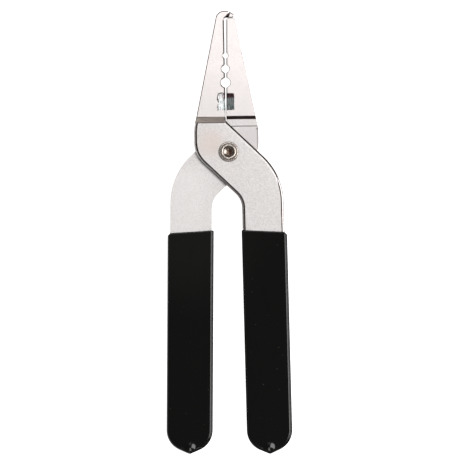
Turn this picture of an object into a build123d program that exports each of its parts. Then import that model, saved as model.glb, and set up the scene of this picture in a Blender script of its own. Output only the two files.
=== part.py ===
from build123d import *
import os
from math import cos, radians, sin, tan

# Split-ring pliers, in millimetres. Two stamped steel levers cross at one rivet, and each handle is
# dipped in vinyl. The pliers lie flat on their back: Z is the pivot axis, Y runs up the line on which
# the jaws meet, and the origin is where the pivot axis meets the resting plane.
# Both levers are one stamping, and the rear one is turned over. A lever is drawn as the front one:
# jaw on the left, handle on the right, x = 0 on the meeting line and z = 0 midway through the jaws.

# Stack along the pivot
PLATE = 2.5                 # thickness of a lever
PLATE_GAP = 0.06            # running gap between the levers at the pivot
GRIP_WALL = 1.0             # vinyl over the faces and the end of a handle
MID_Z = GRIP_WALL + PLATE + PLATE_GAP / 2  # height of the plane that both jaws share
JAW_LINE_X = -0.75          # the jaws meet a little to the left of the pivot
REST_OPENING = 1.0          # degrees between the jaws as the pliers lie

# Jaws
JAW_TOP_Y = 45.8            # end of the plain jaw
JAW_TOP_WIDTH = 3.3         # width of a jaw at its end
JAW_TAPER = 11.6            # degrees between the jaw's outer edge and the meeting line
JAW_CORNER_R = 0.7
LOBE_X = 11.07              # widest reach of the plate beside the pivot
SHOULDER_R = 15.0           # where the jaw's outer edge turns down to the lobe
LOBE_R = 9.9                # where the lobe turns into the arm

# Hook over the end of the other jaw
HOOK_TOP_Y = 48.4
HOOK_APEX_X = 4.75          # where the beak's upper and lower edges would meet but for its round nose
HOOK_SLOPE = 35.0           # degrees by which the beak's upper edge falls towards the nose
HOOK_GAP = 0.25             # space between the beak and the other jaw
HOOK_ARCH_R = 3.0           # rounding over the back of the hook
HOOK_BROW_R = 5.0           # and over its brow, above the nose
HOOK_NOSE_R = 0.75
GRIND_CENTRE = (-0.4, 47.65)  # the nose is ground thin outside a circle about this point
GRIND_LEFT_X = -0.2         # and to the right of this line
GRIND_INNER_R = 1.5         # the circle on the front face
GRIND_WALL = 0.6            # width of the hollow wall down to the ground floor
GRIND_DEPTH = 1.3

# Arm and handle
ARM_ANGLE = 43.6            # degrees by which the arm falls away across the pivot
ARM_UPPER = 7.6             # distance of the arm's upper edge from the middle
ARM_LOWER = 8.3             # distance of its lower edge
HANDLE_INNER_X = 4.85       # inner edge of a handle, produced up to the pivot's height
HANDLE_WIDTH = 14.35
HANDLE_SPLAY = 0.9          # degrees by which a handle leans outward
HANDLE_END_Y = -102.1
INNER_ELBOW_R = 7.0
OUTER_ELBOW_R = 21.7
HANDLE_END_R = 6.9

# Joggle that brings each jaw to the shared plane: where its step starts and ends along Y
JOGGLE_OUTER = (10.1, 11.8)     # on the lever's outer face
JOGGLE_MATING = (11.25, 12.25)  # on the face towards the other lever
OUTER_BEND_R = 1.0
MATING_BEND_R = 0.25
RELIEF_Y = 8.7                  # a shallow flat is coined from here to the step on the mating face
RELIEF_DEPTH = 0.14
RELIEF_RAMP = 0.25              # length of the slope at the flat's lower end

# Edges
DIE_ROLL = 1.1              # rounding of the outer face's rim, from the handle's end up to ROLL_TOP_Y
ROLL_TOP_Y = 10.0
ROLL_CORNER_R = 3.0         # rounds the rolled plate's corner above that line, where the jaw takes over
JAW_OUTER_BREAK = 0.35      # rounding of the jaw's rim on the outer face
JAW_MATING_BREAK = 0.15     # and on the other face
LEAST_RISE = 0.3            # a face whose normal rises more than this is level or a bend
MOST_WALL_RISE = 0.05       # a face whose normal rises less than this is a wall
ON_LINE = 0.1               # how near a line something has to be to lie on it

# Crimping notches, as (height along Y, radius), and the side cutter
NOTCHES = ((33.0, 0.9), (28.45, 1.3), (23.75, 1.62))
NOTCH_MOUTH_R = 0.5         # rounding of a notch's corners with the jaw face
CUTTER_LOW_Y = 14.3
CUTTER_HIGH_Y = 20.1
CUTTER_WIDTH = 2.7
CUTTER_LAND = 0.5           # thickness left along the cutting edge
CUTTER_CORNER_R = 0.6

# Pivot rivet: a flat rear head, and a front head rolled over from a hollow end
SHANK_R = 2.5
RUNNING_FIT = 0.05          # radial and end clearance of the front lever, which turns on the rivet
SEAT_FIT = 0.01             # radial clearance of the rear lever, which is staked to it
HEAD_R = 3.45
HEAD_EDGE_R = 0.2
SKIRT_HEIGHT = 0.45         # flange round the foot of the front head
SKIRT_EDGE_R = 0.35
ROLL_FOOT_R = 2.75          # the rolled ring: its outer foot, and the two edges of its crest
ROLL_OUTER_R = 2.55
ROLL_INNER_R = 1.95
ROLL_HEIGHT = 0.95
ROLL_EDGE_R = 0.42
CRATER_R = 1.7              # the conical crater inside the ring, and the slope of its side in degrees
CRATER_SLOPE = 36.0

# Grips
FRONT_INNER_WALL = 0.35     # vinyl over the inner edge of the front handle
REAR_INNER_WALL = 0.65      # and of the rear one, where the dip ran thicker
GRIP_OUTER_WALL = 0.85      # vinyl over the outer edge of a handle
GRIP_TOP_Y = -26.85         # inner end of the grip's top edge
GRIP_TOP_SLOPE = 3.0        # degrees by which the top edge falls outward
GRIP_CHAMFER = 0.9          # cut off the outer end of the top edge
GRIP_EDGE_R = 1.0
GRIP_LIP_R = 0.35
LIP_REACH = 3.3             # how far below the outer end of the top edge the lip's rounding runs
GRIP_TIP_Y = -103.6         # lowest point of a grip, where the last drop set
TIP_SLOPE = 24.0            # degrees by which the end rises to each side of it
END_CORNER_R = 7.3
TIP_R = 2.4
DRIP_R = 1.3

FAR = 60.0                  # reach of the cutting tools past the part


def crossing(point_a, angle_a, point_b, angle_b):
    """Where the line through point_a at angle_a degrees crosses the line through point_b at angle_b."""
    ax, ay = cos(radians(angle_a)), sin(radians(angle_a))
    bx, by = cos(radians(angle_b)), sin(radians(angle_b))
    dx, dy = point_b[0] - point_a[0], point_b[1] - point_a[1]
    along = (dx * by - dy * bx) / (ax * by - ay * bx)
    return (point_a[0] + along * ax, point_a[1] + along * ay)


def face_from(corners):
    """A flat face from corners, each given as ((x, y), rounding radius)."""
    points = [point for point, _ in corners]
    radii = [radius for _, radius in corners]
    return make_face(FilletPolyline(*points, radius=radii, close=True))


# The lines that bound a lever, each as a point and a direction in degrees
JAW_FACE = ((0, 0), 90 + REST_OPENING / 2)
JAW_BACK = ((-JAW_TOP_WIDTH, JAW_TOP_Y), 90 - JAW_TAPER)
LOBE_SIDE = ((-LOBE_X, 0), 90)
ACROSS_ARM = Vector(sin(radians(ARM_ANGLE)), cos(radians(ARM_ANGLE)))
ARM_TOP = ((ACROSS_ARM.X * ARM_UPPER, ACROSS_ARM.Y * ARM_UPPER), -ARM_ANGLE)
ARM_FOOT = ((-ACROSS_ARM.X * ARM_LOWER, -ACROSS_ARM.Y * ARM_LOWER), -ARM_ANGLE)
HANDLE_DIRECTION = HANDLE_SPLAY - 90
HANDLE_INSIDE = ((HANDLE_INNER_X, 0), HANDLE_DIRECTION)
HANDLE_OUTSIDE = ((HANDLE_INNER_X + HANDLE_WIDTH / cos(radians(HANDLE_SPLAY)), 0), HANDLE_DIRECTION)


def level(y):
    """The level line at height y."""
    return ((0, y), 0)


def plain_tip():
    """Corners of the flat-ended jaw, from the working face outward."""
    return [
        (crossing(*JAW_FACE, *level(JAW_TOP_Y)), JAW_CORNER_R),
        (crossing(*JAW_BACK, *level(JAW_TOP_Y)), JAW_CORNER_R),
    ]


def hooked_tip():
    """Corners of the jaw whose beak reaches over the end of the other one."""
    underside = JAW_TOP_Y + HOOK_GAP
    apex = (HOOK_APEX_X, underside)
    return [
        (crossing(*JAW_FACE, *level(underside)), JAW_CORNER_R),
        (apex, HOOK_NOSE_R),
        (crossing(apex, -HOOK_SLOPE, *level(HOOK_TOP_Y)), HOOK_BROW_R),
        (crossing(*JAW_BACK, *level(HOOK_TOP_Y)), HOOK_ARCH_R),
    ]


def handle_corners():
    """Corners of a lever's lobe, arm and handle, from the jaw's back round to the arm's upper edge."""
    end = level(HANDLE_END_Y)
    return [
        (crossing(*JAW_BACK, *LOBE_SIDE), SHOULDER_R),
        (crossing(*LOBE_SIDE, *ARM_FOOT), LOBE_R),
        (crossing(*ARM_FOOT, *HANDLE_INSIDE), INNER_ELBOW_R),
        (crossing(*HANDLE_INSIDE, *end), HANDLE_END_R),
        (crossing(*HANDLE_OUTSIDE, *end), HANDLE_END_R),
        (crossing(*HANDLE_OUTSIDE, *ARM_TOP), OUTER_ELBOW_R),
    ]


def joggled_sheet():
    """The bent sheet that a lever is stamped from, wide enough for the whole plan."""
    mating = PLATE_GAP / 2
    outer = mating + PLATE
    relief = mating + RELIEF_DEPTH
    low = HANDLE_END_Y - FAR
    high = HOOK_TOP_Y + FAR
    section = face_from([
        ((low, mating), 0),
        ((RELIEF_Y, mating), 0),
        ((RELIEF_Y + RELIEF_RAMP, relief), 0),
        ((JOGGLE_MATING[0], relief), MATING_BEND_R),
        ((JOGGLE_MATING[1], -PLATE / 2), MATING_BEND_R),
        ((high, -PLATE / 2), 0),
        ((high, PLATE / 2), 0),
        ((JOGGLE_OUTER[1], PLATE / 2), OUTER_BEND_R),
        ((JOGGLE_OUTER[0], outer), OUTER_BEND_R),
        ((low, outer), 0),
    ])
    return extrude(Plane.YZ * section, FAR, both=True)


def rim_edges(piece, outward):
    """Edges between a piece's walls and its outer face (outward 1) or its mating face (outward -1)."""
    face_normals = [(face, face.normal_at().Z * outward) for face in piece.faces()]
    level_faces = [face for face, rise in face_normals if rise > LEAST_RISE]
    walls = [face for face, rise in face_normals if abs(rise) < MOST_WALL_RISE]
    cut_walls = [wall for wall in walls if abs(wall.center().Y - ROLL_TOP_Y) > ON_LINE]
    wall_edges = set(edge for wall in cut_walls for edge in wall.edges())
    return [edge for face in level_faces for edge in face.edges() if edge in wall_edges]


def notched(jaw):
    """A jaw with its half of each crimping notch, whose corners with the jaw face are rounded."""
    for height, radius in NOTCHES:
        jaw -= Pos(0, height, 0) * Cylinder(radius, FAR)

    def at_a_mouth(edge):
        middle = edge.center()
        on_face = abs(middle.X - crossing(*JAW_FACE, *level(middle.Y))[0]) < ON_LINE
        return on_face and any(abs(middle.Y - height) < radius for height, radius in NOTCHES)

    mouths = [edge for edge in jaw.edges().filter_by(Axis.Z) if at_a_mouth(edge)]
    return jaw.fillet(NOTCH_MOUTH_R, mouths)


def half_space(side):
    """Everything above the line where the die roll ends (side 1) or below it (side -1)."""
    beyond = Align.MIN if side > 0 else Align.MAX
    block = Box(2 * FAR, 2 * FAR, 2 * FAR, align=(Align.CENTER, beyond, Align.CENTER))
    return Pos(0, ROLL_TOP_Y, 0) * block


def rolled_handle():
    """The plate and handle of a lever, below the jaw, with the rim of the outer face rolled by the die."""
    outline = face_from([(crossing(*ARM_TOP, *JAW_BACK), ROLL_CORNER_R)] + handle_corners())
    slab = extrude(Pos(0, 0, PLATE_GAP / 2) * outline, PLATE)
    rolled = slab.fillet(DIE_ROLL, slab.faces().sort_by(Axis.Z)[-1].edges())
    return rolled & joggled_sheet() & half_space(-1)


def stamped_jaw(tip):
    """A notched jaw, with its edges only broken, down to where the die roll ends."""
    outline = face_from(tip + handle_corners() + [(crossing(*ARM_TOP, *JAW_FACE), 0)])
    jaw = joggled_sheet() & extrude(outline, FAR, both=True) & half_space(1)
    jaw = notched(jaw.solid())
    jaw = jaw.fillet(JAW_OUTER_BREAK, rim_edges(jaw, 1))
    return jaw.fillet(JAW_MATING_BREAK, rim_edges(jaw, -1))


def lever_blank(tip):
    """A stamped lever before the cutter is ground and the pivot hole is bored."""
    return (rolled_handle() + stamped_jaw(tip)).solid()


def side_cutter_grind(side):
    """The wedge ground from the front of one jaw (side -1 is left) to leave its cutting edge."""
    front = PLATE / 2
    half_gap = -crossing(*JAW_FACE, *level(CUTTER_LOW_Y))[0]
    back_x = side * (half_gap + CUTTER_WIDTH)
    slope = (PLATE - CUTTER_LAND) / CUTTER_WIDTH
    wedge_face = make_face(Polyline(
        (back_x, front),
        (back_x, front + FAR),
        (-side * FAR, front + FAR),
        (-side * FAR, front - slope * (FAR + half_gap + CUTTER_WIDTH)),
        close=True,
    ))
    wedge = extrude(Plane.XZ * wedge_face, FAR, both=True)
    window = face_from([
        ((back_x, CUTTER_LOW_Y), CUTTER_CORNER_R),
        ((back_x, CUTTER_HIGH_Y), CUTTER_CORNER_R),
        ((0, CUTTER_HIGH_Y), 0),
        ((0, CUTTER_LOW_Y), 0),
    ])
    return wedge & extrude(window, FAR, both=True)


def nose_region():
    """Everything right of and above the corner where the beak's nose is ground."""
    return Pos(GRIND_LEFT_X, JAW_TOP_Y - JAW_CORNER_R, -FAR / 2) * Box(FAR, FAR, FAR, align=Align.MIN)


def nose_boss():
    """The round boss that the wheel spared, which flares down to the ground floor."""
    front = PLATE / 2
    floor = front - GRIND_DEPTH
    flare = RadiusArc((GRIND_INNER_R, front), (GRIND_INNER_R + GRIND_WALL, floor), GRIND_DEPTH)
    rest = Polyline((GRIND_INNER_R + GRIND_WALL, floor), (0, floor), (0, FAR), (GRIND_INNER_R, FAR),
                    (GRIND_INNER_R, front))
    return Pos(*GRIND_CENTRE) * revolve(Plane.XZ * make_face([flare, rest]), Axis.Z)


def thinned_tip():
    """The hooked tip as thin as the ground floor leaves it, with both rims broken."""
    foot = level(NOTCHES[0][0])
    outline = face_from(hooked_tip() + [(crossing(*JAW_BACK, *foot), 0), (crossing(*JAW_FACE, *foot), 0)])
    slab = extrude(Pos(0, 0, -PLATE / 2) * outline, PLATE - GRIND_DEPTH)
    slab = slab.fillet(JAW_OUTER_BREAK, slab.faces().sort_by(Axis.Z)[-1].edges())
    return slab.fillet(JAW_MATING_BREAK, slab.faces().sort_by(Axis.Z)[0].edges())


def hooked_blank():
    """The front lever's blank, with the beak's nose ground thin all round a boss."""
    blank = lever_blank(hooked_tip())
    region = nose_region()
    nose = (thinned_tip() + (blank & nose_boss())) & region
    return (blank - region + nose).solid()


def placed(piece, turned_over=False):
    """Moves a piece from the lever's own place to its place on the resting plane."""
    turn = Rot(0, 180, 0) if turned_over else Rot(0, 0, 0)
    return Pos(JAW_LINE_X, 0, MID_Z) * turn * piece


def bored(lever, clearance):
    """A placed lever with its pivot hole."""
    return (lever - Cylinder(SHANK_R + clearance, FAR)).solid()


def worked(lever, side):
    """A placed lever with its half of the side cutter."""
    return lever - placed(side_cutter_grind(side))


def grip_sleeve(inside, outside, tip):
    """A handle-shaped bar of vinyl with rounded edges, whose lower end comes to a blunt tip."""
    plan = face_from([
        ((inside, 0), 0),
        (crossing((inside, 0), HANDLE_DIRECTION, tip, HANDLE_SPLAY - TIP_SLOPE), END_CORNER_R),
        (tip, TIP_R),
        (crossing((outside, 0), HANDLE_DIRECTION, tip, HANDLE_SPLAY + TIP_SLOPE), END_CORNER_R),
        ((outside, 0), 0),
    ])
    bar = extrude(Pos(0, 0, PLATE_GAP / 2 - GRIP_WALL) * plan, PLATE + 2 * GRIP_WALL)
    long_edges = [edge for edge in bar.edges().filter_by(Axis.Z, reverse=True) if edge.center().Y < 0]
    return fillet(long_edges, GRIP_EDGE_R)


def grip_top_cutter(inner_top, outer_top):
    """Everything above the grip's sloping top edge and the cut-off corner at its outer end."""
    slope = -GRIP_TOP_SLOPE
    far_left = crossing(inner_top, slope, (inner_top[0] - FAR, 0), 90)
    corner = crossing(inner_top, slope, (outer_top[0] - GRIP_CHAMFER, 0), 90)
    side = (outer_top[0] + GRIP_CHAMFER, outer_top[1] - 2 * GRIP_CHAMFER)
    above = face_from([
        ((far_left[0], FAR), 0),
        (far_left, 0),
        (corner, 0),
        (side, 0),
        ((side[0] + FAR, side[1]), 0),
        ((side[0] + FAR, FAR), 0),
    ])
    return extrude(above, FAR, both=True)


def handle_grip(lever, inner_wall):
    """The vinyl sleeve dipped over a handle, hollow where the steel goes through it."""
    inside = HANDLE_INNER_X - inner_wall
    outside = HANDLE_OUTSIDE[0][0] + GRIP_OUTER_WALL
    tip = crossing(((inside + outside) / 2, 0), HANDLE_DIRECTION, *level(GRIP_TIP_Y))
    inner_top = crossing((inside, 0), HANDLE_DIRECTION, *level(GRIP_TOP_Y))
    outer_top = crossing((outside, 0), HANDLE_DIRECTION, inner_top, -GRIP_TOP_SLOPE)
    sleeve = grip_sleeve(inside, outside, tip) - grip_top_cutter(inner_top, outer_top)
    lip = [edge for edge in sleeve.edges() if edge.center().Y > outer_top[1] - LIP_REACH]
    sleeve = fillet(lip, GRIP_LIP_R)
    drip = Pos(tip[0], tip[1] + DRIP_R, (PLATE_GAP + PLATE) / 2) * Sphere(DRIP_R)
    return (sleeve + drip - lever).solid()


def pivot_rivet():
    """The rivet, standing on the flat of its rear head."""
    seat = MID_Z + PLATE_GAP / 2 + PLATE + RUNNING_FIT
    skirt = seat + SKIRT_HEIGHT
    roll = seat + ROLL_HEIGHT
    crater_point = skirt - CRATER_R * tan(radians(CRATER_SLOPE))
    half_section = face_from([
        ((0, 0), 0),
        ((HEAD_R, 0), HEAD_EDGE_R),
        ((HEAD_R, GRIP_WALL), 0),
        ((SHANK_R, GRIP_WALL), 0),
        ((SHANK_R, seat), 0),
        ((HEAD_R, seat), 0),
        ((HEAD_R, skirt), SKIRT_EDGE_R),
        ((ROLL_FOOT_R, skirt), 0),
        ((ROLL_OUTER_R, roll), ROLL_EDGE_R),
        ((ROLL_INNER_R, roll), ROLL_EDGE_R),
        ((CRATER_R, skirt), 0),
        ((0, crater_point), 0),
    ])
    return revolve(Plane.XZ * half_section, Axis.Z).solid()


def main():
    front_blank = hooked_blank()
    rear_blank = lever_blank(plain_tip())
    pieces = {
        "front_lever": bored(worked(placed(front_blank), -1), RUNNING_FIT),
        "rear_lever": bored(worked(placed(rear_blank, turned_over=True), 1), SEAT_FIT),
        "front_grip": placed(handle_grip(front_blank, FRONT_INNER_WALL)),
        "rear_grip": placed(handle_grip(rear_blank, REAR_INNER_WALL), turned_over=True),
        "pivot_rivet": pivot_rivet(),
    }
    os.makedirs("parts", exist_ok=True)
    for name, piece in pieces.items():
        export_step(piece, f"parts/{name}.step")


if __name__ == "__main__":
    main()
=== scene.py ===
import math

import bpy
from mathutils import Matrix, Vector


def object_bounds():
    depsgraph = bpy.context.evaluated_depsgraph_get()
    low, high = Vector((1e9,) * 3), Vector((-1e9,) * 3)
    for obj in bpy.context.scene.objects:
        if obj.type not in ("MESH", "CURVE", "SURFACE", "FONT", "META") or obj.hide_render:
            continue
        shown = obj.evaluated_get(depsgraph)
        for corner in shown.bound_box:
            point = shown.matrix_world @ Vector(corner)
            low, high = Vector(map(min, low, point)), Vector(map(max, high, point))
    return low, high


# Split-ring pliers lying on a pale sheet, seen from straight above through a long lens.
# Everything is in metres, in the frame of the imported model.

MM = 0.001

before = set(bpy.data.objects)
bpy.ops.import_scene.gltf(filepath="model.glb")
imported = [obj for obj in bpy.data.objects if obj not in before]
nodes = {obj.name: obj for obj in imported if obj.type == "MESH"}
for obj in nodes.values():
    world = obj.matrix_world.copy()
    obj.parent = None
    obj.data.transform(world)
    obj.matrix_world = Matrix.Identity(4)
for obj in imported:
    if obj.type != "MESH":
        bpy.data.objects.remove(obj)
cad_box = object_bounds()

# Places on the jaws that their finish depends on
JAW_LINE_X = -0.75 * MM      # where the jaws meet
HALF_OPENING = math.tan(math.radians(0.5))  # lean of each jaw from that line
STEP_LOW_Y = 9.7 * MM        # the step from the pivot plate up to the jaws
STEP_HIGH_Y = 12.6 * MM
JAW_FINISH_Y = (10.6 * MM, 11.8 * MM)  # where the jaws' brighter finish starts and is full
CUTTER_LOW_Y = 14.2 * MM     # the ground bevels of the side cutter
CUTTER_HIGH_Y = 20.2 * MM
CUTTER_REACH = 3.1 * MM      # from the line where the jaws meet to the back of each bevel
CUTTER_BURN_Y = 18.2 * MM    # where the right bevel starts to be burnt
JAW_MIDDLE_Y = 34.0 * MM
HOOK_LOW_Y = 45.0 * MM       # underside of the hooked beak
# width of the painted shade down the jaws' edges
EDGE_SHADE_WIDTH = 0.4 * MM
BEAK_GRIND = (-1.15 * MM, 47.65 * MM)  # centre of the boss that the beak's nose is ground round
SHADE_DIAGONAL = (-47.35 * MM, -47.05 * MM)  # X less Y where the painted shade round it starts and is full

# Centres of patches on the pivot plates and the grips
WARM_PATCH = (-6.0 * MM, 3.0 * MM)
# centre of the painted shade on the rear lobe
REAR_LOBE = (9.0 * MM, 4.0 * MM)
# a spot of painted shade on the rear lobe
LOBE_SHADE_SPOT = (9.9 * MM, 7.9 * MM)
# centre of a painted sheen on the left grip
VINYL_SHEEN = (-14.0 * MM, -28.0 * MM)
LAST_DROPS = ((-14.2 * MM, -101.0 * MM), (12.9 * MM, -101.0 * MM))  # where the vinyl dripped off and set
REAR_PLATE_Z = (5.0 * MM, 4.2 * MM)  # heights between which the front plate gives way to the rear one
CRATER_Z = (6.4 * MM, 6.0 * MM)      # heights between which the rivet's ring gives way to its crater

# A surface's lean is the X or Y of its normal, and its tilt is 1 less its normal's Z.
# Of each pair, the first value is where something starts and the second where it is full.
SIDEWAYS_LEAN = (0.06, 0.14)
BEVEL_TILT = (0.01, 0.03)
RIM_TILT = (0.003, 0.02)
UPWARD_SHARE = (0.28, 0.45)  # share of the slope that faces up the plan
UPPER_RIM_DELAY = 0.12       # extra tilt before a rim that faces up the plan is burnished
# tilts from which a rim that faces up the plan is painted dark as shade
UPPER_RIM_TILT = (0.15, 0.20)
# tilts over which a rim's sides are painted dark as shade
SIDE_SHADE_TILT = (0.32, 0.50)
# leans over which the jaws' rims that face up the plan are painted dark as shade
JAW_BROW_LEAN = (0.22, 0.4)
LEAST_STEEPNESS = 0.02       # keeps the share of a flat face's slope finite
ROLLED_FROM = 0.007          # tilts between which a rim is painted dark as shade where it rolls over
ROLLED_TO = 0.09
ROLLED_FADE = 0.005

# Light of the room, as (rise, radiance). The rise of a direction is 0 where it is level and 1 overhead.
ROOM_LIGHT = ((0.40, 0.08), (0.48, 0.36), (0.64, 0.36), (0.74, 0.08))
ROOM_TINT = (1.0, 0.98, 0.96)

CAMERA_SHIFT = (0.61 * MM, 1.16 * MM)  # from the middle of the pliers' plan
AIM_DEPTH = 2.0 * MM                   # below the top of the rivet


class Graph:
    """A material's node tree, with short calls for the nodes used here."""

    def __init__(self, name):
        self.material = bpy.data.materials.new(name)
        self.material.use_nodes = True
        self.tree = self.material.node_tree
        self.tree.nodes.clear()
        output = self.node("ShaderNodeOutputMaterial")
        self.shader = self.node("ShaderNodeBsdfPrincipled")
        self.link(self.shader.outputs["BSDF"], output.inputs["Surface"])
        self.place = self.node("ShaderNodeTexCoord").outputs["Object"]
        self.xyz = self.split(self.place)
        facing = self.split(self.node("ShaderNodeTexCoord").outputs["Normal"])
        self.lean_x, self.lean_y, self.rise = facing.outputs

    def node(self, kind, **settings):
        made = self.tree.nodes.new(kind)
        for name, value in settings.items():
            setattr(made, name, value)
        return made

    def split(self, vector):
        made = self.node("ShaderNodeSeparateXYZ")
        self.link(vector, made.inputs[0])
        return made

    def link(self, source, target):
        self.tree.links.new(source, target)

    def put(self, target, value):
        """Gives an input either a link or a constant."""
        if isinstance(value, bpy.types.NodeSocket):
            self.link(value, target)
        else:
            target.default_value = value

    def axis(self, letter):
        return self.xyz.outputs[letter]

    def maths(self, operation, a, b=0.0, c=0.0, clamp=False):
        made = self.node("ShaderNodeMath", operation=operation, use_clamp=clamp)
        for socket, value in zip(made.inputs, (a, b, c)):
            self.put(socket, value)
        return made.outputs[0]

    def product(self, first, *others):
        for other in others:
            first = self.maths("MULTIPLY", first, other)
        return first

    def largest(self, first, *others):
        for other in others:
            first = self.maths("MAXIMUM", first, other)
        return first

    def rest_of(self, value):
        """1 less the value."""
        return self.maths("SUBTRACT", 1.0, value)

    def ramp(self, value, low, high):
        """0 below low, 1 above high and a smooth rise between; high may be the lower of the two."""
        made = self.node("ShaderNodeMapRange", interpolation_type="SMOOTHSTEP")
        self.put(made.inputs["Value"], value)
        if low < high:
            limits = (low, high, 0.0, 1.0)
        else:
            limits = (high, low, 1.0, 0.0)
        for name, limit in zip(("From Min", "From Max", "To Min", "To Max"), limits):
            made.inputs[name].default_value = limit
        return made.outputs[0]

    def band(self, value, low, high, edge):
        """1 from low to high, fading to 0 over edge outside them."""
        return self.product(self.ramp(value, low - edge, low), self.ramp(value, high + edge, high))

    def spot(self, centre, inner, outer):
        """1 within inner of a point of the plan, fading to 0 at outer."""
        across = self.maths("SUBTRACT", self.axis("X"), centre[0])
        up = self.maths("SUBTRACT", self.axis("Y"), centre[1])
        square = self.maths("ADD", self.product(across, across), self.product(up, up))
        return self.ramp(self.maths("SQRT", square), outer, inner)

    def spread(self, value, low, high):
        """Maps 0..1 to low..high."""
        made = self.node("ShaderNodeMapRange")
        self.put(made.inputs["Value"], value)
        made.inputs["To Min"].default_value = low
        made.inputs["To Max"].default_value = high
        return made.outputs[0]

    def noise(self, size, detail=2.0, roughness=0.5, stretch=(1, 1, 1), turn=0.0):
        """Noise whose features are about size metres across, drawn out along the axes of stretch."""
        mapping = self.node("ShaderNodeMapping")
        self.link(self.place, mapping.inputs["Vector"])
        mapping.inputs["Rotation"].default_value = (0, 0, turn)
        mapping.inputs["Scale"].default_value = tuple(1 / (size * s) for s in stretch)
        made = self.node("ShaderNodeTexNoise")
        self.link(mapping.outputs[0], made.inputs["Vector"])
        made.inputs["Scale"].default_value = 1.0
        made.inputs["Detail"].default_value = detail
        made.inputs["Roughness"].default_value = roughness
        return made.outputs[0]

    def mix(self, factor, a, b):
        """Blend of two colours or two numbers."""
        kind = "RGBA" if isinstance(a, tuple) or isinstance(b, tuple) or self.is_colour(a) else "FLOAT"
        made = self.node("ShaderNodeMix", data_type=kind)
        self.put(made.inputs[0], factor)
        first, second, result = (6, 7, 2) if kind == "RGBA" else (2, 3, 0)
        self.put(made.inputs[first], a)
        self.put(made.inputs[second], b)
        return made.outputs[result]

    @staticmethod
    def is_colour(value):
        return isinstance(value, bpy.types.NodeSocket) and value.type == "RGBA"

    def layered(self, colour, *layers):
        """The colour with each (share, colour) layer laid over it in turn."""
        for share, tint in layers:
            colour = self.mix(share, colour, tint)
        return colour

    def bump(self, height, distance, normal=None):
        made = self.node("ShaderNodeBump")
        made.inputs["Strength"].default_value = 1.0
        made.inputs["Distance"].default_value = distance
        self.link(height, made.inputs["Height"])
        if normal is not None:
            self.link(normal, made.inputs["Normal"])
        return made.outputs[0]

    def surface(self, **values):
        for name, value in values.items():
            self.put(self.shader.inputs[name.replace("_", " ")], value)
        return self.material


def rgb(r, g, b):
    return (r, g, b, 1.0)


def plated_steel():
    """Satin nickel plate: grained on the plates, brighter on the jaws, with burnished rims painted dark as
    shade.
    """
    g = Graph("satin_nickel")
    speckle = g.noise(0.42 * MM, detail=3.0, roughness=0.75)
    grain = g.noise(0.16 * MM, detail=2.0, roughness=0.6)
    cloud = g.noise(4.0 * MM, detail=3.0)
    drawn = g.noise(0.25 * MM, detail=2.0, stretch=(1, 14, 1), turn=math.radians(8))

    tilt = g.rest_of(g.rise)
    jaw = g.ramp(g.axis("Y"), *JAW_FINISH_Y)
    bend = step_bend(g)
    bevel = g.product(cutter_window(g), g.ramp(tilt, *BEVEL_TILT))
    edge = g.product(g.rest_of(bend), g.rest_of(bevel))
    upward = upward_rim(g, jaw)
    rim_tilt = g.maths("SUBTRACT", tilt, g.product(upward, UPPER_RIM_DELAY))

    colour = satin_colour(g, speckle, cloud, jaw)
    colour = g.layered(colour, *step_layers(g, bend), *edge_shade_layers(g))
    colour = g.layered(colour, *rim_layers(g, tilt, rim_tilt, upward, jaw, edge))
    colour = g.layered(colour, *wheel_layers(g, bevel, drawn))

    burnished = g.product(g.ramp(rim_tilt, *RIM_TILT), edge)
    satin = g.maths("ADD", g.spread(speckle, 0.36, 0.50), g.spread(cloud, -0.03, 0.03))
    roughness = g.mix(burnished, satin, g.spread(grain, 0.10, 0.20))
    roughness = g.mix(bevel, roughness, g.spread(drawn, 0.15, 0.40))
    relief = g.bump(grain, 0.006 * MM, g.bump(speckle, 0.008 * MM))
    scored = g.bump(g.product(bevel, drawn), 0.10 * MM, relief)
    return g.surface(Base_Color=colour, Metallic=1.0, Roughness=roughness, Normal=scored)


def step_bend(g):
    """1 on the bent faces of the step up to the jaws, but not on its sides."""
    in_step = g.band(g.axis("Y"), STEP_LOW_Y, STEP_HIGH_Y, 0.2 * MM)
    sideways = g.ramp(g.maths("ABSOLUTE", g.lean_x), *SIDEWAYS_LEAN)
    return g.product(in_step, g.rest_of(sideways))


def upward_rim(g, jaw):
    """1 where an edge below the jaws slopes up the plan, however little it is tilted."""
    steepness = g.maths("SQRT", g.maths("SUBTRACT", 1.0, g.product(g.rise, g.rise), clamp=True))
    up_share = g.maths("DIVIDE", g.lean_y, g.largest(steepness, LEAST_STEEPNESS))
    return g.product(g.ramp(up_share, *UPWARD_SHARE), g.rest_of(jaw))


def rear_plate(g):
    """1 below the front plate, where the rear one shows beside it."""
    return g.ramp(g.axis("Z"), *REAR_PLATE_Z)


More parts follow.
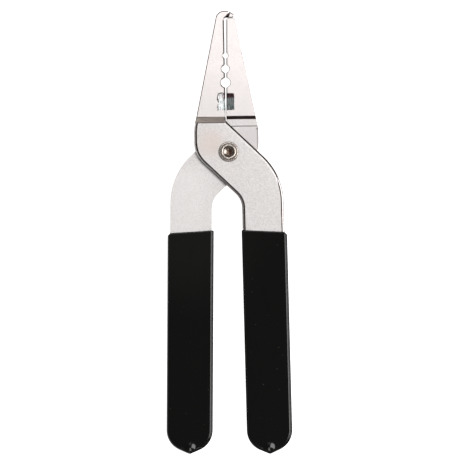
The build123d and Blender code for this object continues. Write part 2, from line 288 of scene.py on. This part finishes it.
def satin_colour(g, speckle, cloud, jaw):
    """The flat faces: speckled, with a warmer patch, clouded greyer patches, a left arm painted paler as
    light and a rear lobe painted greyer as shade.
    """
    mottle = g.ramp(speckle, 0.28, 0.72)
    # painted light: the left arm is painted paler
    lit_left_arm = g.product(g.ramp(g.axis("X"), 0, -13.0 * MM), g.ramp(g.axis("Y"), 0, -9.0 * MM))
    warm_patch = g.spot(WARM_PATCH, inner=1.0 * MM, outer=7.0 * MM)
    # painted shade: the rear lobe beside the front plate is painted greyer
    rear_lobe_shade = g.product(g.spot(REAR_LOBE, inner=3.0 * MM, outer=9.0 * MM), rear_plate(g))
    plate = g.layered(
        g.mix(mottle, rgb(0.60, 0.57, 0.56), rgb(0.80, 0.775, 0.765)),
        (g.product(lit_left_arm, 0.4), rgb(0.93, 0.91, 0.90)),
        (g.product(warm_patch, 0.75), rgb(0.71, 0.61, 0.56)),
        (g.product(rear_lobe_shade, 0.7), rgb(0.64, 0.60, 0.60)),
    )
    jaw_foot = g.ramp(g.axis("Y"), JAW_MIDDLE_Y, STEP_HIGH_Y)
    jaw_face = g.layered(
        g.mix(mottle, rgb(0.83, 0.775, 0.765), rgb(0.93, 0.87, 0.855)),
        (g.product(jaw_foot, 0.45), rgb(0.66, 0.63, 0.62)),
    )
    clouded = g.product(g.ramp(cloud, 0.45, 0.7), 0.25)
    return g.layered(plate, (jaw, jaw_face), (clouded, rgb(0.74, 0.70, 0.69)))


def step_layers(g, bend):
    """The step, with painted light where it faces up the plan, a dark band of painted shade where it is
    only slightly tilted up the plan, and painted shade where it faces down it.
    """
    lit_facing_up = g.ramp(g.lean_y, 0.25, 0.6)
    shaded_brow = g.band(g.lean_y, 0.10, 0.36, 0.05)
    shaded_facing_down = g.ramp(g.lean_y, -0.25, -0.6)
    return (
        (g.product(bend, lit_facing_up), rgb(0.84, 0.74, 0.67)),
        (g.product(bend, shaded_brow), rgb(0.14, 0.112, 0.10)),
        (g.product(bend, shaded_facing_down), rgb(0.09, 0.06, 0.06)),
    )


def edge_shade_layers(g):
    """Painted shade: dark lines down both jaws' edges where they meet, darker on the left one, and a grey
    margin on the rear lobe.
    """
    return (
        (jaw_edge_shade(g, -1), rgb(0.06, 0.05, 0.05)),
        (jaw_edge_shade(g, 1), rgb(0.42, 0.39, 0.38)),
        (g.product(lobe_edge_shade(g), rear_plate(g)), rgb(0.22, 0.19, 0.19)),
    )


def jaw_edge_shade(g, side):
    """1 on a narrow line of painted shade down a jaw's edge, side -1 the left one, from the hook to the
    cutter.
    """
    leaned = g.maths("MULTIPLY_ADD", g.axis("Y"), -side * HALF_OPENING, g.axis("X"))
    from_edge = g.product(g.maths("SUBTRACT", leaned, JAW_LINE_X), side)
    line = g.band(from_edge, 0.0, EDGE_SHADE_WIDTH, 0.1 * MM)
    return g.product(line, g.band(g.axis("Y"), CUTTER_HIGH_Y, HOOK_LOW_Y, 0.3 * MM))


def lobe_edge_shade(g):
    """1 on a spot of painted shade at the upper end of the rear lever's lobe, and weaker painted shade
    along its outer edge.
    """
    edge = g.product(g.ramp(g.axis("X"), 9.5 * MM, 10.2 * MM), g.band(g.axis("Y"), 0, 8 * MM, MM))
    shade_spot = g.spot(LOBE_SHADE_SPOT, inner=0.15 * MM, outer=0.55 * MM)
    return g.largest(g.product(edge, 0.75), shade_spot)


def rim_layers(g, tilt, rim_tilt, upward, jaw, edge):
    """The rims, painted dark as shade: a line where the edge rolls over, darker where it faces right, the
    sides beyond it and the jaws' rims that face up the plan.
    """
    rolled_shade = g.band(rim_tilt, ROLLED_FROM, ROLLED_TO, ROLLED_FADE)
    upper_edge_shade = g.product(upward, g.ramp(tilt, *UPPER_RIM_TILT))
    line = g.product(g.largest(rolled_shade, upper_edge_shade), edge)
    # painted shade: the rim line is darker where it faces right
    shade_line_colour = g.mix(g.ramp(g.lean_x, 0.0, 0.1), rgb(0.075, 0.053, 0.05), rgb(0.03, 0.02, 0.018))
    shaded_sides = g.product(g.ramp(tilt, *SIDE_SHADE_TILT), edge)
    shaded_jaw_brow = g.product(jaw, g.ramp(g.lean_y, *JAW_BROW_LEAN), edge)
    return (line, shade_line_colour), (g.largest(shaded_sides, shaded_jaw_brow), rgb(0.10, 0.07, 0.065))


def wheel_layers(g, bevel, drawn):
    """What the grinding wheel left, with painted shade: a dark shoulder on the beak, the cutter's bevels
    and dark lines round them.
    """
    return (
        (beak_shade(g), rgb(0.03, 0.026, 0.026)),
        (bevel, bevel_colour(g, drawn)),
        (cutter_edge_shade(g), rgb(0.06, 0.05, 0.05)),
    )


def beak_shade(g):
    """1 on the shoulder that the wheel left when it thinned the beak's nose, painted dark as shade."""
    past_boss = g.maths("SUBTRACT", g.axis("X"), g.axis("Y"))
    round_boss = g.spot(BEAK_GRIND, inner=1.95 * MM, outer=2.1 * MM)
    above_hook = g.ramp(g.axis("Y"), HOOK_LOW_Y + 0.9 * MM, HOOK_LOW_Y + 1.1 * MM)
    return g.product(g.ramp(past_boss, *SHADE_DIAGONAL), round_boss, above_hook)


def bevel_colour(g, drawn):
    """The cutter's bevels: scored by the wheel, the right one painted brighter as lit and the left one
    darker as shade, and burnt dark at the top of the right one.
    """
    scratch = g.ramp(drawn, 0.35, 0.70)
    # lit and shaded copies of one ground finish: painted light on the right bevel, painted shade on the
    # left
    left = g.mix(scratch, rgb(0.32, 0.33, 0.33), rgb(0.70, 0.71, 0.71))
    right = g.mix(scratch, rgb(0.36, 0.46, 0.47), rgb(0.98, 1.0, 1.0))
    burnt = g.ramp(g.axis("Y"), CUTTER_BURN_Y, CUTTER_BURN_Y + 0.7 * MM)
    right = g.mix(burnt, right, rgb(0.24, 0.13, 0.15))
    on_right = g.ramp(g.axis("X"), JAW_LINE_X - 0.1 * MM, JAW_LINE_X + 0.1 * MM)
    return g.mix(on_right, left, right)


def cutter_edge_shade(g):
    """1 on broken, wavering lines of painted shade round the cutter's left bevel, and faint round the
    right one.
    """
    fade = 0.06 * MM
    from_line = from_jaw_line(g)
    waver = g.spread(g.noise(1.3 * MM, detail=2.0), -0.6 * MM, 0.6 * MM)
    wavering = g.maths("ADD", from_line, waver)
    back = g.band(wavering, CUTTER_REACH - 0.5 * MM, CUTTER_REACH - 0.2 * MM, fade)
    cutting_edge = g.band(wavering, 0.35 * MM, 0.6 * MM, fade)
    sides = g.product(g.largest(back, cutting_edge), cutter_window(g))
    top = g.band(g.maths("ADD", g.axis("Y"), waver), CUTTER_HIGH_Y - 0.3 * MM, CUTTER_HIGH_Y, fade)
    top = g.product(top, g.ramp(from_line, CUTTER_REACH, CUTTER_REACH - 0.3 * MM))
    broken = g.ramp(g.noise(0.9 * MM, detail=1.0), 0.34, 0.50)
    strength = g.spread(g.ramp(g.axis("X"), JAW_LINE_X, JAW_LINE_X - 0.1 * MM), 0.25, 1.0)
    return g.product(g.largest(sides, top), broken, strength)


def cutter_window(g):
    """1 inside the stretch of the jaws where the side cutter is ground."""
    along = g.band(g.axis("Y"), CUTTER_LOW_Y, CUTTER_HIGH_Y, 0.1 * MM)
    return g.product(along, g.ramp(from_jaw_line(g), CUTTER_REACH + 0.2 * MM, CUTTER_REACH))


def from_jaw_line(g):
    """Distance to either side of the line where the jaws meet."""
    return g.maths("ABSOLUTE", g.maths("SUBTRACT", g.axis("X"), JAW_LINE_X))


def rivet_steel():
    """Formed steel, with painted shade on the flanks of the rings and in the crater, darkest on the
    crater's wall that faces left.
    """
    g = Graph("formed_steel")
    grain = g.noise(0.18 * MM, detail=3.0, roughness=0.7)
    blotch = g.noise(0.8 * MM, detail=2.0)
    # painted shade on the rings' tilted flanks
    shaded_flank = g.ramp(g.rise, 0.93, 0.70)
    crater = g.product(g.spot((0, 0), inner=1.5 * MM, outer=1.9 * MM), g.ramp(g.axis("Z"), *CRATER_Z))
    # painted shade: the crater wall that faces left is dark, the one that faces right pale
    shaded_wall = g.ramp(g.lean_x, 0.15, -0.25)
    colour = g.layered(
        g.mix(blotch, rgb(0.42, 0.36, 0.31), rgb(0.80, 0.74, 0.69)),
        (g.product(shaded_flank, 0.8), rgb(0.16, 0.12, 0.10)),
        (crater, g.mix(shaded_wall, rgb(0.66, 0.56, 0.49), rgb(0.15, 0.09, 0.07))),
    )
    roughness = g.spread(grain, 0.16, 0.34)
    normal = g.bump(grain, 0.008 * MM, g.bump(blotch, 0.03 * MM))
    return g.surface(Base_Color=colour, Metallic=1.0, Roughness=roughness, Normal=normal)


def dipped_vinyl():
    """Glossy black vinyl: slightly wavy, with dust specks, a faint painted sheen and sides that hardly
    reflect.
    """
    g = Graph("dipped_vinyl")
    waves = g.noise(7.0 * MM, detail=1.0, stretch=(1, 2.5, 1))
    skin = g.noise(0.5 * MM, detail=2.0)
    dust = g.ramp(g.noise(0.9 * MM, detail=1.0), 0.75, 0.82)
    # painted sheen: the left grip is a little paler round this spot
    sheen = g.spot(VINYL_SHEEN, inner=6 * MM, outer=32 * MM)
    colour = g.mix(sheen, rgb(0.003, 0.003, 0.0028), rgb(0.008, 0.008, 0.0072))
    colour = g.mix(dust, colour, rgb(0.06, 0.06, 0.055))

    side = g.ramp(g.rise, 0.78, 0.68)
    shiny_edge = g.product(g.ramp(g.lean_x, 0.1, -0.1), g.ramp(g.axis("X"), -7 * MM, -9 * MM))
    dull = g.product(side, g.rest_of(shiny_edge))
    roughness = g.spread(skin, 0.08, 0.15)
    drops = g.largest(*(g.spot(place, inner=0.0, outer=2.2 * MM) for place in LAST_DROPS))
    normal = g.bump(skin, 0.003 * MM, g.bump(waves, 0.08 * MM, g.bump(drops, 0.25 * MM)))
    return g.surface(Base_Color=colour, Roughness=roughness, Normal=normal, IOR=g.spread(dull, 1.55, 1.02))


def pale_sheet():
    """The white sheet the pliers lie on. It glows, so no shadow shows on it."""
    g = Graph("pale_sheet")
    fibre = g.noise(2.0 * MM, detail=2.0)
    colour = g.mix(fibre, rgb(0.90, 0.90, 0.90), rgb(0.94, 0.94, 0.94))
    return g.surface(Base_Color=colour, Roughness=0.9, Emission_Color=rgb(1, 1, 1), Emission_Strength=1.0)


def floor(half_width):
    mesh = bpy.data.meshes.new("floor")
    corners = [(x * half_width, y * half_width, 0.0) for x, y in ((-1, -1), (1, -1), (1, 1), (-1, 1))]
    mesh.from_pydata(corners, [], [(0, 1, 2, 3)])
    sheet = bpy.data.objects.new("floor", mesh)
    sheet.data.materials.append(pale_sheet())
    bpy.context.scene.collection.objects.link(sheet)


def panel(name, centre, facing, width, height, radiance):
    """A lit panel that faces along facing, with the height side as upright as it can be."""
    lamp = bpy.data.lights.new(name, "AREA")
    lamp.shape = "RECTANGLE"
    lamp.size = width
    lamp.size_y = height
    lamp.energy = radiance * math.pi * width * height
    light = bpy.data.objects.new(name, lamp)
    light.location = centre
    light.rotation_mode = "QUATERNION"
    light.rotation_quaternion = (-facing).to_track_quat("Z", "Y")
    light.visible_camera = False
    bpy.context.scene.collection.objects.link(light)


def overhead_light(name, target, x_range, y_range, radiance, rise=2.0):
    """A level panel, rise above the target, over the ranges of X and Y measured from it."""
    centre = target + Vector((sum(x_range) / 2, sum(y_range) / 2, rise))
    width = x_range[1] - x_range[0]
    depth = y_range[1] - y_range[0]
    panel(name, centre, Vector((0, 0, -1)), width, depth, radiance)


def side_light(name, target, azimuth, zenith_range, width, radiance, distance=0.8):
    """A panel facing the target. Azimuth runs from +X towards +Y, zenith from straight up, in degrees."""
    a = math.radians(azimuth)
    z = math.radians(sum(zenith_range) / 2)
    half_rise = math.radians(zenith_range[1] - zenith_range[0]) / 2
    direction = Vector((math.sin(z) * math.cos(a), math.sin(z) * math.sin(a), math.cos(z)))
    height = 2 * distance * math.tan(half_rise)
    panel(name, target + direction * distance, -direction, width, height, radiance)


def room():
    """Light from all round: dim overhead and near the floor, and paler from the lit walls between."""
    world = bpy.data.worlds.new("room")
    world.use_nodes = True
    tree = world.node_tree
    direction = tree.nodes.new("ShaderNodeTexCoord")
    rise = tree.nodes.new("ShaderNodeSeparateXYZ")
    walls = tree.nodes.new("ShaderNodeValToRGB")
    tree.links.new(direction.outputs["Generated"], rise.inputs[0])
    tree.links.new(rise.outputs["Z"], walls.inputs[0])
    tree.links.new(walls.outputs[0], tree.nodes["Background"].inputs["Color"])
    stops = walls.color_ramp.elements
    stops[0].position = ROOM_LIGHT[0][0]
    stops[1].position = ROOM_LIGHT[-1][0]
    for height, _ in ROOM_LIGHT[1:-1]:
        stops.new(height)
    for stop, (_, radiance) in zip(stops, ROOM_LIGHT):
        stop.color = rgb(*(radiance * tint for tint in ROOM_TINT))
    bpy.context.scene.world = world


def camera_above(centre, frame_width, distance, roll):
    """A camera looking straight down, turned by roll degrees."""
    data = bpy.data.cameras.new("camera")
    data.lens = data.sensor_width * distance / frame_width
    data.clip_start = 0.01
    data.clip_end = 10.0
    camera = bpy.data.objects.new("camera", data)
    camera.location = centre + Vector((0, 0, distance))
    camera.rotation_euler = (0, 0, math.radians(roll))
    bpy.context.scene.collection.objects.link(camera)
    bpy.context.scene.camera = camera


steel = plated_steel()
vinyl = dipped_vinyl()
finishes = {
    "front_lever": steel,
    "rear_lever": steel,
    "front_grip": vinyl,
    "rear_grip": vinyl,
    "pivot_rivet": rivet_steel(),
}
for node, finish in finishes.items():
    nodes[node].data.materials.clear()
    nodes[node].data.materials.append(finish)

low, high = cad_box
middle = (low + high) / 2
aim = Vector((middle.x + CAMERA_SHIFT[0], middle.y + CAMERA_SHIFT[1], high.z - AIM_DEPTH))
camera_above(aim, frame_width=156.9 * MM, distance=1.0, roll=-0.6)
floor(half_width=4.0)
room()
overhead_light("main_light", aim, x_range=(0.42, 1.4), y_range=(-0.5, 0.75), radiance=4.4)
overhead_light("far_light", aim, x_range=(-1.0, 0.42), y_range=(0.5, 1.25), radiance=3.3)
overhead_light("near_light", aim, x_range=(-0.2, 0.2), y_range=(-1.25, -0.6), radiance=3.0)
side_light("right_light", aim, azimuth=0, zenith_range=(60, 80), width=0.9, radiance=3.2)

bpy.context.scene.view_settings.view_transform = "Standard"
